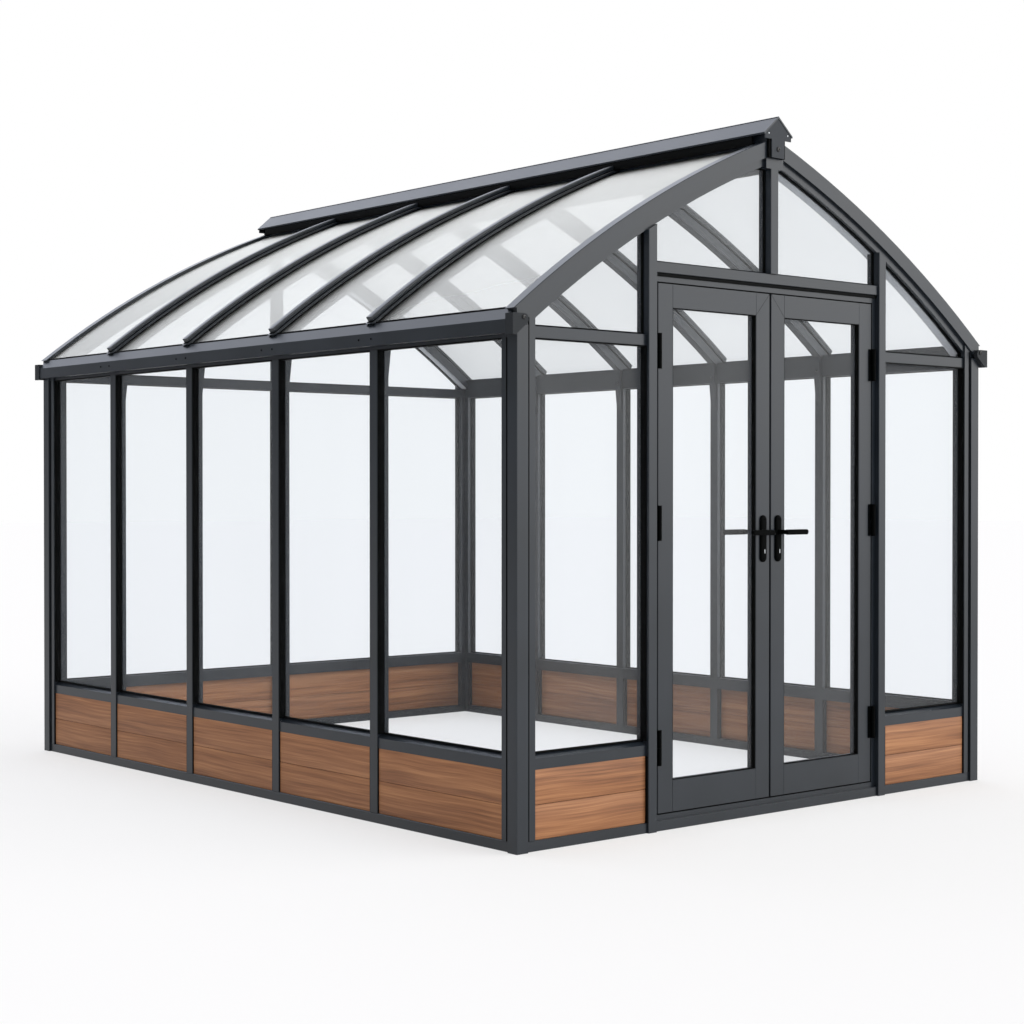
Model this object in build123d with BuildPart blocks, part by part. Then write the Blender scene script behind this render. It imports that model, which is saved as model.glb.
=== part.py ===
"""Greenhouse: grey metal frame, glass walls on low boarded panels, bowed glass roof, double doors."""
import math
import os

from build123d import *

os.makedirs("parts", exist_ok=True)

# Overall sizes, in millimetres. X runs across, Y from the doors to the back, Z up from the ground.
width = 2440
length = 3250
overrun = 20

# Corner posts, with an arm each way that takes the first pane
post = 48
arm_length = 35
arm_step = 6
edge_chamfer = 1.5

# Upright bars between the panes, and the panes
bar_set_back = 8
bar_depth = 50
mullion_width = 44
front_bay = 779
bay_pitch = 618
glass_thickness = 4
glass_reveal = 29
groove_depth = 8
glazing_clearance = 0.3

# Base rail, boarded panels and sill rail
base_height = 35
panel_height = 227
panel_set_back = 5
panel_thickness = 18
board_groove_width = 5
board_groove_depth = 3
sill_height = 36
sill_bevel = 14

# Rail at the top of the walls, and the eave beam that sits on it
glass_height = 1339
wall_rail_height = 39
wall_rail_set_back = 6
eave_overhang = 28
eave_drop = 28
eave_face_height = 44
eave_rise = 52
eave_slope_run = 30
eave_cap_length = 38
eave_cap_reach = 18
eave_cap_lip = 4
eave_cap_height = 68
eave_cap_drop = 6
eave_cap_foot = 14
eave_cap_head_radius = 18
eave_cap_head_inset = 48
gusset_drop = 105
gusset_reach = 16
gusset_foot = 4
gusset_width = 30

# Bowed roof: both slopes are arcs from the eave up to the ridge beam
roof_overhang = 12
roof_rise = 668
roof_sagitta = 50
rib_cap_width = 44
rib_cap_depth = 8
rib_gasket_depth = 6
rib_web_width = 28
rib_flange_width = 40
rib_depth = 55
rafter_strip_depth = 27
rafter_strip_step = 12
rafter_lining_reach = 36
roof_bar_chamfer = 2
roof_glass_thickness = 4

# Ridge
ridge_half_width = 45
ridge_beam_drop = 96
ridge_cap_half_width = 75
ridge_cap_rise = 27
ridge_cap_pitch_rise = 64
ridge_cap_thickness = 6
ridge_cap_lip = 6
ridge_cap_reach = 18
ridge_plate_recess = 2
ridge_plate_thickness = 5
ridge_plate_lip = 20
ridge_tab_width = 66
ridge_tab_drop = 58

# Front: jambs, header, gable bars
jamb_half_span = 632
jamb_width = 40
centre_bar_width = 40
header_bottom = 1903
header_height = 36

# Door frame inside the jambs, and the two leaves
door_frame_width = 18
door_frame_head = 30
door_frame_set_back = 12
door_frame_depth = 38
door_gap = 5
meeting_gap = 8
leaf_thickness = 40
stile_width = 72
top_rail_height = 80
bottom_rail_height = 108

# Hinges
hinge_length = 120
hinge_radius = 8
hinge_pin_radius = 4
hinge_pin_clearance = 0.05
hinge_knuckle_gap = 0.5
hinge_stand_off = 9.5
hinge_plate_thickness = 3
hinge_plate_width = 16
hinge_notch = 9
hinge_heights = (283, 1050, 1637)

# Lever handles
handle_height = 1012
handle_plate_width = 32
handle_plate_length = 168
handle_plate_rise = 61
handle_plate_thickness = 8
spindle_radius = 8
spindle_clearance = 0.1
lever_length = 118
lever_height = 19
lever_thickness = 12
lever_stand_off = 44
lever_bevel = 3

# Worked out from the sizes above
half_width = width / 2
half_length = length / 2
side_face = -half_width + bar_set_back
front_face = -half_length + bar_set_back
bar_centre = bar_depth / 2
glass_centre = glass_reveal + glass_thickness / 2
groove_width = glass_thickness + 2 * glazing_clearance
bite = groove_depth - glazing_clearance
sill_bottom = base_height + panel_height
sill_top = sill_bottom + sill_height
glass_bottom = sill_top + sill_bevel
wall_rail_bottom = glass_bottom + glass_height
wall_top = wall_rail_bottom + wall_rail_height
eave_top = wall_top + eave_rise
corner_reach = post + arm_length
mullion_count = round((length - front_bay) / bay_pitch)
mullion_places = [-half_length + front_bay + index * bay_pitch for index in range(mullion_count)]
roof_top = eave_top + roof_rise
ridge_bottom = roof_top - ridge_beam_drop
header_top = header_bottom + header_height
jamb_inner = jamb_half_span - jamb_width
jamb_centre = jamb_half_span - jamb_width / 2
inner_face = front_face + bar_depth

# The left slope's arc: its ends, its radius and its centre
roof_edge_x = half_width + roof_overhang
chord_run = roof_edge_x - ridge_half_width
chord = math.hypot(chord_run, roof_rise)
roof_radius = (chord**2 / 4 + roof_sagitta**2) / (2 * roof_sagitta)
lean_x = roof_rise / chord
lean_z = chord_run / chord
centre_depth = roof_radius - roof_sagitta
roof_centre_x = -(roof_edge_x + ridge_half_width) / 2 + lean_x * centre_depth
roof_centre_z = eave_top + roof_rise / 2 - lean_z * centre_depth
eave_angle = math.degrees(math.atan2(eave_top - roof_centre_z, -roof_edge_x - roof_centre_x))
ridge_angle = math.degrees(math.atan2(roof_top - roof_centre_z, -ridge_half_width - roof_centre_x))
eave_inner = side_face + bar_depth
roof_outside = half_width + eave_overhang + roof_rise
arc_spare_share = 0.15
arc_spare = (eave_angle - ridge_angle) * arc_spare_share
roof_glass_top = roof_radius - rib_cap_depth - rib_gasket_depth
roof_glass_seat = roof_glass_top - roof_glass_thickness
rafter_inner_radius = roof_radius - rib_depth - rafter_strip_depth


def clear_spans(start, end, centres, bar_width):
    """The open stretches between start and end, beside bars of one width at the centres given."""
    lows = [start] + [centre + bar_width / 2 for centre in centres]
    highs = [centre - bar_width / 2 for centre in centres] + [end]
    return list(zip(lows, highs))


side_end = half_length - corner_reach
side_spans = clear_spans(-side_end, side_end, mullion_places, mullion_width)
front_spans = [(-half_width + corner_reach, -jamb_half_span), (jamb_half_span, half_width - corner_reach)]
back_spans = clear_spans(-half_width + corner_reach, half_width - corner_reach, [0], mullion_width)


def along_side(section, spans):
    """Runs of a section along the left wall, drawn as depth behind the bars' face against height."""
    with BuildPart() as runs:
        for low, high in spans:
            start = Plane(origin=(side_face, high, 0), x_dir=(1, 0, 0), z_dir=(0, -1, 0))
            with BuildSketch(start):
                add(section)
            extrude(amount=high - low)
    return runs.part


def along_front(section, spans):
    """Runs of a section along the front wall."""
    with BuildPart() as runs:
        for low, high in spans:
            with BuildSketch(Plane(origin=(low, front_face, 0), x_dir=(0, 1, 0), z_dir=(1, 0, 0))):
                add(section)
            extrude(amount=high - low)
    return runs.part


def along_back(section, spans):
    """Runs of a section along the back wall."""
    with BuildPart() as runs:
        for low, high in spans:
            with BuildSketch(Plane(origin=(high, -front_face, 0), x_dir=(0, -1, 0), z_dir=(-1, 0, 0))):
                add(section)
            extrude(amount=high - low)
    return runs.part


def rail_section(set_back, depth, bottom, height, groove_ends):
    """A rail's section with its outer edges eased, and a pane groove at each end height given."""
    with BuildSketch() as section:
        with Locations((set_back + depth / 2, bottom + height / 2)):
            Rectangle(depth, height)
        chamfer(section.vertices().group_by(Axis.X)[0], edge_chamfer)
        for end in groove_ends:
            with Locations((glass_centre, end)):
                Rectangle(groove_width, 2 * groove_depth, mode=Mode.SUBTRACT)
    return section.sketch


def panel_section():
    """Two boards, one over the other, with a vee between them on both faces."""
    middle = base_height + panel_height / 2
    outer = panel_set_back
    inner = panel_set_back + panel_thickness
    half_groove = board_groove_width / 2
    with BuildSketch() as section:
        with BuildLine():
            Polyline(
                (outer, base_height),
                (outer, middle - half_groove),
                (outer + board_groove_depth, middle),
                (outer, middle + half_groove),
                (outer, sill_bottom),
                (inner, sill_bottom),
                (inner, middle + half_groove),
                (inner - board_groove_depth, middle),
                (inner, middle - half_groove),
                (inner, base_height),
                close=True,
            )
        make_face()
    return section.sketch


def sill_section():
    """The rail over the boards: a plain face, then a bevel up to the glass."""
    with BuildSketch() as section:
        with BuildLine():
            Polyline(
                (panel_set_back, sill_bottom),
                (panel_set_back, sill_top),
                (glass_reveal - glazing_clearance, glass_bottom),
                (bar_depth, glass_bottom),
                (bar_depth, sill_bottom),
                close=True,
            )
        make_face()
        with Locations((glass_centre, glass_bottom)):
            Rectangle(groove_width, 2 * groove_depth, mode=Mode.SUBTRACT)
    return section.sketch


def pane_section(bottom, top):
    """A pane's section, reaching into the grooves at its foot and head."""
    with BuildSketch() as section:
        with Locations((glass_centre, (bottom + top) / 2)):
            Rectangle(glass_thickness, top - bottom + 2 * bite)
    return section.sketch


def eave_section():
    """The eave beam's section, with X across the part: a plain face, then a slope up to the roof panes."""
    outer = -half_width - eave_overhang
    foot = wall_top - eave_drop
    with BuildSketch() as section:
        with BuildLine():
            Polyline(
                (outer, foot),
                (outer, foot + eave_face_height),
                (outer + eave_slope_run, eave_top),
                (eave_inner, eave_top),
                (eave_inner, wall_top),
                (-half_width, wall_top),
                (-half_width, foot),
                close=True,
            )
        make_face()
    return section.sketch


def cross_plane(y):
    """An upright plane across the part at y, with its own y axis up; extrusions run towards the doors."""
    return Plane(origin=(0, y, 0), x_dir=(1, 0, 0), z_dir=(0, -1, 0))


def wider(spans, extra):
    """Spans made longer at both ends."""
    return [(low - extra, high + extra) for low, high in spans]


def under_roof(solid, radius):
    """What lies inside the left slope's arc of the radius given."""
    with BuildPart() as kept:
        add(solid)
        centre = (roof_centre_x, half_length + overrun, roof_centre_z)
        with BuildSketch(Plane(origin=centre, x_dir=(1, 0, 0), z_dir=(0, -1, 0))):
            Circle(radius)
        extrude(amount=length + 2 * overrun, mode=Mode.INTERSECT)
    return kept.part


# Corner posts: a square post, with an arm along each wall that stands on the base rail
arm_depth = bar_set_back - arm_step + bar_depth
arm_middle = post + arm_length / 2
arm_across = arm_step + arm_depth / 2
groove_reach = corner_reach - groove_depth / 2
groove_across = bar_set_back + glass_centre


def post_head(front, back, radius):
    """A slice of the post's arm above the front wall, between two depths, up to the rafter's underside."""
    with BuildPart() as head:
        with BuildSketch(Plane(origin=(-half_width, -half_length, wall_top))):
            with Locations((arm_middle, (front + back) / 2)):
                Rectangle(arm_length, back - front)
            with Locations((groove_reach, groove_across)):
                Rectangle(groove_depth, groove_width, mode=Mode.SUBTRACT)
        extrude(amount=eave_rise + post)
    return under_roof(head.part, radius)


with BuildPart() as corner_posts:
    with BuildSketch(Plane(origin=(-half_width, -half_length, 0))):
        with Locations((post / 2, post / 2)):
            Rectangle(post, post)
    extrude(amount=wall_top)
    with BuildSketch(Plane(origin=(-half_width, -half_length, base_height))):
        with Locations((arm_middle, arm_across)):
            Rectangle(arm_length, arm_depth)
        with Locations((arm_across, arm_middle)):
            Rectangle(arm_depth, arm_length)
        with Locations((groove_reach, groove_across)):
            Rectangle(groove_depth, groove_width, mode=Mode.SUBTRACT)
        with Locations((groove_across, groove_reach)):
            Rectangle(groove_width, groove_depth, mode=Mode.SUBTRACT)
    extrude(amount=wall_top - base_height)
    outer_edges = corner_posts.edges().filter_by(Axis.Z).group_by(Axis.X)[0]
    chamfer(outer_edges, edge_chamfer)
    add(post_head(arm_step, rafter_strip_step, roof_radius - rib_depth))
    add(post_head(rafter_strip_step, post, rafter_inner_radius))
    mirror(about=Plane.YZ)
    mirror(about=Plane.XZ)

# Base rails, from post to post along the sides and back, and from post to jamb in front
base_profile = rail_section(0, post - bar_set_back, 0, base_height, [])
with BuildPart() as base_rails:
    add(along_side(base_profile, [(-half_length + post, half_length - post)]))
    mirror(about=Plane.YZ)
    base_end = half_width - post
    add(along_front(base_profile, [(-base_end, -jamb_half_span), (jamb_half_span, base_end)]))
    add(along_back(base_profile, [(-base_end, base_end)]))

# Upright bars of the walls, grooved on both sides for the panes
with BuildPart() as left_wall_mullions:
    with BuildSketch(Plane.XY.offset(base_height)):
        with Locations(*[(side_face + bar_centre, y) for y in mullion_places]):
            Rectangle(bar_depth, mullion_width)
        groove_offset = (mullion_width - groove_depth) / 2
        sides = (-groove_offset, groove_offset)
        with Locations(*[(side_face + glass_centre, y + side) for y in mullion_places for side in sides]):
            Rectangle(groove_width, groove_depth, mode=Mode.SUBTRACT)
    extrude(amount=wall_rail_bottom - base_height)
    chamfer(left_wall_mullions.edges().filter_by(Axis.Z).group_by(Axis.X)[0], edge_chamfer)

with BuildPart() as right_wall_mullions:
    mirror(left_wall_mullions.part, about=Plane.YZ)

with BuildPart() as back_mullion:
    with BuildSketch(Plane.XY.offset(base_height)):
        with Locations((0, -front_face - bar_centre)):
            Rectangle(mullion_width, bar_depth)
        back_glass_y = -front_face - glass_centre
        with Locations((-groove_offset, back_glass_y), (groove_offset, back_glass_y)):
            Rectangle(groove_depth, groove_width, mode=Mode.SUBTRACT)
    extrude(amount=ridge_bottom - base_height)
    chamfer(back_mullion.edges().filter_by(Axis.Z).group_by(Axis.Y)[-1], edge_chamfer)

# Boarded panels and the sill rails over them
panel_profile = panel_section()
sill_profile = sill_section()
with BuildPart() as left_panels:
    add(along_side(panel_profile, side_spans))
with BuildPart() as right_panels:
    mirror(left_panels.part, about=Plane.YZ)
with BuildPart() as front_panels:
    add(along_front(panel_profile, front_spans))
with BuildPart() as back_panels:
    add(along_back(panel_profile, back_spans))
with BuildPart() as left_sill_rails:
    add(along_side(sill_profile, side_spans))
with BuildPart() as right_sill_rails:
    mirror(left_sill_rails.part, about=Plane.YZ)
with BuildPart() as end_sill_rails:
    add(along_front(sill_profile, front_spans))
    add(along_back(sill_profile, back_spans))

# Rails at the top of the walls; the end walls' ones are grooved above too, for the gable panes
rail_depth = bar_depth - wall_rail_set_back
rail_grooves = [wall_rail_bottom, wall_top]
rail_sizes = (wall_rail_set_back, rail_depth, wall_rail_bottom, wall_rail_height)
rail_profile = rail_section(*rail_sizes, rail_grooves[:1])
gable_rail_profile = rail_section(*rail_sizes, rail_grooves)
with BuildPart() as wall_top_rails:
    add(along_side(rail_profile, [(-half_length + corner_reach, half_length - corner_reach)]))
    mirror(about=Plane.YZ)
with BuildPart() as front_gable_rails:
    add(along_front(gable_rail_profile, front_spans))
with BuildPart() as back_gable_rails:
    add(along_back(gable_rail_profile, back_spans))

# Wall panes
wall_pane = pane_section(glass_bottom, wall_rail_bottom)
with BuildPart() as left_wall_glass:
    add(along_side(wall_pane, wider(side_spans, bite)))
with BuildPart() as right_wall_glass:
    mirror(left_wall_glass.part, about=Plane.YZ)

# Eave beams, notched round the feet of the end rafters
with BuildPart() as eave_beams:
    beam_half = half_length + eave_cap_reach - eave_cap_length
    between_rafters = half_length - post
    notch = beam_half - between_rafters
    with BuildSketch(cross_plane(beam_half)):
        add(eave_section())
    extrude(amount=2 * beam_half)
    with BuildSketch(Plane.XY.offset(wall_top)):
        notch_x = (eave_inner - half_width) / 2
        notch_y = (beam_half + between_rafters) / 2
        with Locations((notch_x, -notch_y), (notch_x, notch_y)):
            Rectangle(eave_inner + half_width, notch)
    extrude(amount=eave_rise, mode=Mode.SUBTRACT)
    mirror(about=Plane.YZ)

# Cap on each end of the eaves: a box over the beam's overhang, with a teardrop plate across the post
with BuildPart() as eave_end_caps:
    cap_outer = -half_width - eave_overhang - eave_cap_lip
    cap_bottom = wall_top - eave_drop - eave_cap_drop
    cap_top = cap_bottom + eave_cap_height
    cap_toe = cap_outer + eave_cap_foot
    head_x = cap_outer + eave_cap_head_inset
    head_z = cap_top - eave_cap_head_radius
    toe_distance = math.hypot(head_x - cap_toe, head_z - cap_bottom)
    toe_turn = math.atan2(cap_bottom - head_z, cap_toe - head_x)
    head_start = math.degrees(toe_turn + math.acos(eave_cap_head_radius / toe_distance))
    with BuildSketch(cross_plane(-half_length)):
        with BuildLine():
            Polyline((head_x, cap_top), (cap_outer, cap_top), (cap_outer, cap_bottom), (cap_toe, cap_bottom))
            head = CenterArc((head_x, head_z), eave_cap_head_radius, head_start, 90 - head_start)
            Line((cap_toe, cap_bottom), head @ 0)
        make_face()
    extrude(amount=eave_cap_reach)
    with BuildSketch(cross_plane(-beam_half)):
        with Locations(((cap_outer - half_width) / 2, (cap_bottom + cap_top) / 2)):
            Rectangle(-half_width - cap_outer, eave_cap_height)
    extrude(amount=half_length - beam_half)
    mirror(about=Plane.YZ)
    mirror(about=Plane.XZ)


def bowed(section, seat_inner):
    """A section, drawn as radius against Y, swung along the left slope and seated on the eave."""
    start = math.radians(eave_angle + arc_spare)
    radial = (math.cos(start), 0, math.sin(start))
    normal = Vector(*radial).cross(Vector(0, 1, 0))
    centre = (roof_centre_x, 0, roof_centre_z)
    with BuildPart() as swung:
        with BuildSketch(Plane(origin=centre, x_dir=radial, z_dir=normal)):
            add(section)
        revolve(axis=Axis(centre, (0, 1, 0)), revolution_arc=eave_angle - ridge_angle + 2 * arc_spare)
        split(bisect_by=Plane.YZ.offset(-ridge_half_width), keep=Keep.BOTTOM)
        split(bisect_by=Plane.XY.offset(wall_top), keep=Keep.TOP)
        with BuildSketch(Plane.XY.offset(wall_top)):
            with Locations(((seat_inner - roof_outside) / 2, 0)):
                Rectangle(seat_inner + roof_outside, length + 2 * overrun)
        extrude(amount=eave_rise, mode=Mode.SUBTRACT)
    return swung.part


def band(inner_radius, outer_radius, low, high, mode=Mode.ADD):
    """A rectangle of a roof bar's section, between two radii and two places along Y."""
    with Locations(((inner_radius + outer_radius) / 2, (low + high) / 2)):
        Rectangle(outer_radius - inner_radius, high - low, mode=mode)


def rib_section(y):
    """A glazing bar: a cap that stands over the panes, a web between them and a flange that they lie on."""
    cap_foot = roof_radius - rib_cap_depth
    with BuildSketch() as section:
        band(cap_foot, roof_radius, y - rib_cap_width / 2, y + rib_cap_width / 2)
        band(roof_glass_seat, cap_foot, y - rib_web_width / 2, y + rib_web_width / 2)
        band(roof_radius - rib_depth, roof_glass_seat, y - rib_flange_width / 2, y + rib_flange_width / 2)
        chamfer(section.vertices().group_by(Axis.X)[-1], roof_bar_chamfer)
    return section.sketch


def rafter_section():
    """The front gable's bar: a deep face with the roof pane in its side and the gable panes below."""
    front = -half_length
    back = -half_length + post
    strip_front = front + rafter_strip_step
    strip_foot = roof_radius - rib_depth - rafter_strip_depth
    pane = front_face + glass_centre
    with BuildSketch() as section:
        band(roof_radius - rib_depth, roof_radius, front, back)
        band(strip_foot, roof_radius - rib_depth, strip_front, back)
        band(roof_glass_seat, roof_glass_top, back - groove_depth, back, Mode.SUBTRACT)
        low = pane - groove_width / 2
        band(strip_foot, strip_foot + groove_depth, low, low + groove_width, Mode.SUBTRACT)
        chamfer(section.vertices().group_by(Axis.X)[-1], roof_bar_chamfer)
    return section.sketch


with BuildPart() as left_roof_ribs:
    for y in mullion_places:
        add(bowed(rib_section(y), eave_inner))
with BuildPart() as right_roof_ribs:
    mirror(left_roof_ribs.part, about=Plane.YZ)

with BuildPart() as front_rafters:
    add(bowed(rafter_section(), -half_width))
    with BuildSketch() as lining:
        lining_front = -half_length + post
        band(rafter_inner_radius, roof_radius - rib_depth, lining_front, lining_front + rafter_lining_reach)
    add(bowed(lining.sketch, eave_inner))
    mirror(about=Plane.YZ)
with BuildPart() as back_rafters:
    mirror(front_rafters.part, about=Plane.XZ)

# Bent roof panes, lying on the ribs' flanges and let into the rafters at both ends
roof_edge = half_length - post + bite
roof_spans = clear_spans(-roof_edge, roof_edge, mullion_places, rib_web_width + 2 * glazing_clearance)
with BuildPart() as left_roof_glass:
    for low, high in roof_spans:
        with BuildSketch() as bent_pane:
            band(roof_glass_seat + glazing_clearance, roof_glass_top - glazing_clearance, low, high)
        add(bowed(bent_pane.sketch, eave_inner))
with BuildPart() as right_roof_glass:
    mirror(left_roof_glass.part, about=Plane.YZ)

# Ridge: a deep beam between the slopes, a folded cap over it and a gable plate under each end of the cap
cap_edge = roof_top + ridge_cap_rise
cap_apex = cap_edge + ridge_cap_pitch_rise
cap_slope = ridge_cap_pitch_rise / ridge_cap_half_width
cap_under = cap_apex - ridge_cap_thickness * math.hypot(1, cap_slope)
with BuildPart() as ridge_beam:
    shoulder = cap_under - ridge_half_width * cap_slope
    with BuildSketch(cross_plane(half_length)):
        with BuildLine():
            Polyline(
                (-ridge_half_width, ridge_bottom),
                (-ridge_half_width, shoulder),
                (0, cap_under),
                (ridge_half_width, shoulder),
                (ridge_half_width, ridge_bottom),
                close=True,
            )
        make_face()
    extrude(amount=length)

with BuildPart() as ridge_cap:
    inner_half = ridge_cap_half_width - ridge_cap_thickness
    inner_edge = cap_under - inner_half * cap_slope
    with BuildSketch(cross_plane(half_length + ridge_cap_reach)):
        with BuildLine():
            Polyline(
                (-ridge_cap_half_width, cap_edge - ridge_cap_lip),
                (-ridge_cap_half_width, cap_edge),
                (0, cap_apex),
                (ridge_cap_half_width, cap_edge),
                (ridge_cap_half_width, cap_edge - ridge_cap_lip),
                (inner_half, cap_edge - ridge_cap_lip),
                (inner_half, inner_edge),
                (0, cap_under),
                (-inner_half, inner_edge),
                (-inner_half, cap_edge - ridge_cap_lip),
                close=True,
            )
        make_face()
    extrude(amount=length + 2 * ridge_cap_reach)

with BuildPart() as ridge_end_plates:
    plate_front = half_length + ridge_cap_reach - ridge_plate_recess
    lip_bottom = cap_edge - ridge_plate_lip
    tab_bottom = roof_top - ridge_tab_drop
    with BuildSketch(cross_plane(ridge_plate_thickness - plate_front)):
        with BuildLine():
            Polyline(
                (0, cap_under),
                (-inner_half, inner_edge),
                (-inner_half, lip_bottom),
                (-ridge_tab_width / 2, lip_bottom),
                (-ridge_tab_width / 2, tab_bottom),
                (ridge_tab_width / 2, tab_bottom),
                (ridge_tab_width / 2, lip_bottom),
                (inner_half, lip_bottom),
                (inner_half, inner_edge),
                close=True,
            )
        make_face()
    extrude(amount=ridge_plate_thickness)
    mirror(about=Plane.XZ)


# Tapered straps inside, from each side bar up over the rail and the eave beam to the roof rib
with BuildPart() as left_gussets:
    gusset_inner = eave_inner + gusset_reach
    gusset_bottom = wall_rail_bottom - gusset_drop
    for y in mullion_places:
        with BuildSketch(cross_plane(y + gusset_width / 2)):
            with BuildLine():
                Polyline(
                    (eave_inner, gusset_bottom),
                    (eave_inner, eave_top),
                    (gusset_inner, eave_top),
                    (gusset_inner, wall_rail_bottom),
                    (eave_inner + gusset_foot, gusset_bottom),
                    close=True,
                )
            make_face()
        extrude(amount=gusset_width)

with BuildPart() as rib_gussets:
    add(under_roof(left_gussets.part, roof_radius - rib_depth - glazing_clearance))
    mirror(about=Plane.YZ)

# Door jambs, from the ground to the rafters, and the header between them
jamb_depth = bar_set_back + bar_depth
jamb_middle = -half_length + jamb_depth / 2
with BuildPart() as left_jamb:
    with BuildSketch(Plane.XY):
        with Locations((-jamb_centre, jamb_middle)):
            Rectangle(jamb_width, jamb_depth)
        jamb_grooves = (-jamb_half_span + groove_depth / 2, -jamb_inner - groove_depth / 2)
        with Locations(*[(x, front_face + glass_centre) for x in jamb_grooves]):
            Rectangle(groove_depth, groove_width, mode=Mode.SUBTRACT)
    extrude(amount=roof_top)
    chamfer(left_jamb.edges().filter_by(Axis.Z).group_by(Axis.Y)[0], edge_chamfer)

with BuildPart() as door_jambs:
    add(under_roof(left_jamb.part, rafter_inner_radius))
    mirror(about=Plane.YZ)

header_profile = rail_section(0, bar_depth, header_bottom, header_height, [header_top])
with BuildPart() as door_header:
    add(along_front(header_profile, [(-jamb_inner, jamb_inner)]))

with BuildPart() as centre_gable_bar:
    with BuildSketch(Plane.XY.offset(header_top)):
        with Locations((0, jamb_middle)):
            Rectangle(centre_bar_width, jamb_depth)
        centre_groove = (centre_bar_width - groove_depth) / 2
        centre_glass_y = front_face + glass_centre
        with Locations((-centre_groove, centre_glass_y), (centre_groove, centre_glass_y)):
            Rectangle(groove_depth, groove_width, mode=Mode.SUBTRACT)
    extrude(amount=ridge_bottom - header_top)
    chamfer(centre_gable_bar.edges().filter_by(Axis.Z).group_by(Axis.Y)[0], edge_chamfer)

# Panes of the end walls; those under the roof have their heads in the rafters' grooves
gable_pane_radius = rafter_inner_radius + bite


def gable_pane(low, high, bottom, glass_y):
    """A pane under the left slope, from its foot up to the rafter."""
    with BuildPart() as pane:
        with BuildSketch(Plane.XY.offset(bottom - bite)):
            with Locations(((low + high) / 2, glass_y)):
                Rectangle(high - low, glass_thickness)
        extrude(amount=ridge_bottom - glazing_clearance - bottom + bite)
    return under_roof(pane.part, gable_pane_radius)


front_glass_y = front_face + glass_centre
post_groove = -half_width + corner_reach - bite
with BuildPart() as front_gable_glass:
    add(gable_pane(post_groove, -jamb_half_span + bite, wall_top, front_glass_y))
    add(gable_pane(-jamb_inner - bite, -centre_bar_width / 2 + bite, header_top, front_glass_y))
    mirror(about=Plane.YZ)
with BuildPart() as back_gable_glass:
    add(gable_pane(post_groove, -mullion_width / 2 + bite, wall_top, -front_glass_y))
    mirror(about=Plane.YZ)
with BuildPart() as end_wall_glass:
    add(along_front(wall_pane, wider(front_spans, bite)))
    add(along_back(wall_pane, wider(back_spans, bite)))

# Door frame: two side strips, a head and a sill, on a threshold between the jambs
leaf_face = front_face + door_frame_set_back
frame_middle = leaf_face + door_frame_depth / 2
frame_inner = jamb_inner - door_frame_width
frame_head_bottom = header_bottom - door_frame_head
with BuildPart() as door_threshold:
    add(along_front(base_profile, [(-jamb_inner, jamb_inner)]))
with BuildPart() as door_frame_sides:
    with BuildSketch(Plane.XY.offset(base_height)):
        with Locations((-jamb_inner + door_frame_width / 2, frame_middle)):
            Rectangle(door_frame_width, door_frame_depth)
    extrude(amount=header_bottom - base_height)
    mirror(about=Plane.YZ)
with BuildPart() as door_frame_rails:
    for bottom, height in ((base_height, door_frame_width), (frame_head_bottom, door_frame_head)):
        with BuildSketch(Plane.XY.offset(bottom)):
            with Locations((0, frame_middle)):
                Rectangle(2 * frame_inner, door_frame_depth)
        extrude(amount=height)

# Door leaves: stiles, rails, a pane and two handle plates each. The left one is drawn, the right mirrored.
leaf_outer = -frame_inner + door_gap
leaf_meeting = -meeting_gap / 2
leaf_bottom = base_height + door_frame_width + door_gap
leaf_top = frame_head_bottom - door_gap
leaf_middle = leaf_face + leaf_thickness / 2
handle_x = leaf_meeting - stile_width / 2
stile_centres = (leaf_outer + stile_width / 2, handle_x)
door_pane_low = leaf_outer + stile_width
door_pane_high = leaf_meeting - stile_width
door_pane_bottom = leaf_bottom + bottom_rail_height
door_pane_top = leaf_top - top_rail_height


with BuildPart() as left_door_stiles:
    with BuildSketch(Plane.XY.offset(leaf_bottom)):
        with Locations(*[(x, leaf_middle) for x in stile_centres]):
            Rectangle(stile_width, leaf_thickness)
        stile_grooves = (door_pane_low - groove_depth / 2, door_pane_high + groove_depth / 2)
        with Locations(*[(x, leaf_middle) for x in stile_grooves]):
            Rectangle(groove_depth, groove_width, mode=Mode.SUBTRACT)
    extrude(amount=leaf_top - leaf_bottom)
    with BuildSketch(cross_plane(leaf_face + leaf_thickness)):
        with Locations((handle_x, handle_height)):
            Circle(spindle_radius + spindle_clearance)
    extrude(amount=leaf_thickness, mode=Mode.SUBTRACT)
    chamfer(left_door_stiles.edges().filter_by(Axis.Z).group_by(Axis.Y)[0], edge_chamfer)

with BuildPart() as left_door_rails:
    rails = (
        (leaf_bottom, bottom_rail_height, door_pane_bottom),
        (door_pane_top, top_rail_height, door_pane_top),
    )
    for bottom, height, groove in rails:
        with BuildSketch(Plane(origin=(door_pane_low, leaf_middle, 0), x_dir=(0, 1, 0), z_dir=(1, 0, 0))):
            with Locations((0, bottom + height / 2)):
                Rectangle(leaf_thickness, height)
            with Locations((0, groove)):
                Rectangle(groove_width, 2 * groove_depth, mode=Mode.SUBTRACT)
        extrude(amount=door_pane_high - door_pane_low)

with BuildPart() as left_door_glass:
    with BuildSketch(Plane.XY.offset(door_pane_bottom - bite)):
        with Locations(((door_pane_low + door_pane_high) / 2, leaf_middle)):
            Rectangle(door_pane_high - door_pane_low + 2 * bite, glass_thickness)
    extrude(amount=door_pane_top - door_pane_bottom + 2 * bite)

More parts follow.
